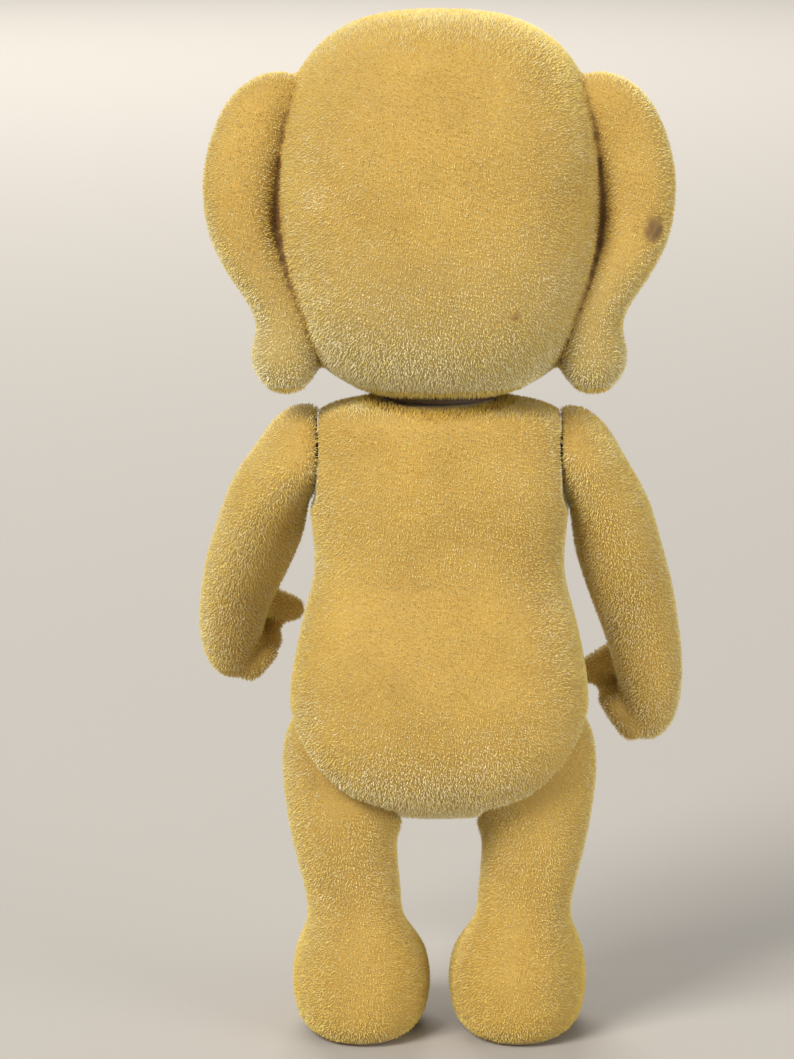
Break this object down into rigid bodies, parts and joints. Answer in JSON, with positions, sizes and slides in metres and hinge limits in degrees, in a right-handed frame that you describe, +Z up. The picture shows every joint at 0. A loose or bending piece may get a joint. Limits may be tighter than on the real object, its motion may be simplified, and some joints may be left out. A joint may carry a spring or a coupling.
{
  "type": "jointed toy animal",
  "caption": "Standing flocked toy animal with long drooping ears, a turning head, and arms and legs that swing on pegs held in a two-part hollow torso.",
  "frame": {"origin": "on the floor, under the middle of the toy's box, between the soles", "axes": "+Z up, the face looks along -Y, the toy's left side is +X"},
  "size_m": [0.0706, 0.0535, 0.1487],
  "materials": {
    "flocked_plastic": "rigid plastic covered with short golden tan flock",
    "flocked_vinyl": "soft vinyl covered with short golden tan flock",
    "black_plastic": "glossy moulded",
    "nylon": "dyed brown, plain moulded",
    "felt": "pressed wool felt"
  },
  "bodies": {
    "torso": {"torso_front": "flocked_plastic", "torso_back": "flocked_plastic", "neck_washer": "felt", "shoulder_washers": "felt", "hip_washers": "felt"},
    "head": {"head": "flocked_vinyl", "ear_left": "flocked_vinyl", "ear_right": "flocked_vinyl", "eye_left": "black_plastic", "eye_right": "black_plastic", "eye_washers": "nylon", "nose": "black_plastic", "nose_washer": "nylon", "neck_plug": "nylon"},
    "arm_left": {"arm_left": "flocked_plastic", "shoulder_peg_left": "nylon"},
    "arm_right": {"arm_right": "flocked_plastic", "shoulder_peg_right": "nylon"},
    "leg_left": {"leg_left": "flocked_plastic", "hip_peg_left": "nylon"},
    "leg_right": {"leg_right": "flocked_plastic", "hip_peg_right": "nylon"}
  },
  "joints": [
    {"name": "neck", "type": "hinge", "parent": "torso", "child": "head", "pos_m": [0, 0.00613, 0.0938], "axis": [0, 0, 1], "continuous": true},
    {"name": "shoulder_left", "type": "hinge", "parent": "torso", "child": "arm_left", "pos_m": [0.0172, 0.00613, 0.0862], "axis": [-1, 0, 0], "range_deg": [-30, 72]},
    {"name": "shoulder_right", "type": "hinge", "parent": "torso", "child": "arm_right", "pos_m": [-0.0172, 0.00613, 0.0862], "axis": [-1, 0, 0], "range_deg": [-12, 90]},
    {"name": "hip_left", "type": "hinge", "parent": "torso", "child": "leg_left", "pos_m": [0.0089, 0.00613, 0.042], "axis": [-0.9397, 0, 0.342], "range_deg": [-5, 78]},
    {"name": "hip_right", "type": "hinge", "parent": "torso", "child": "leg_right", "pos_m": [-0.0089, 0.00613, 0.042], "axis": [-0.9397, 0, -0.342], "range_deg": [-5, 78]}
  ]
}
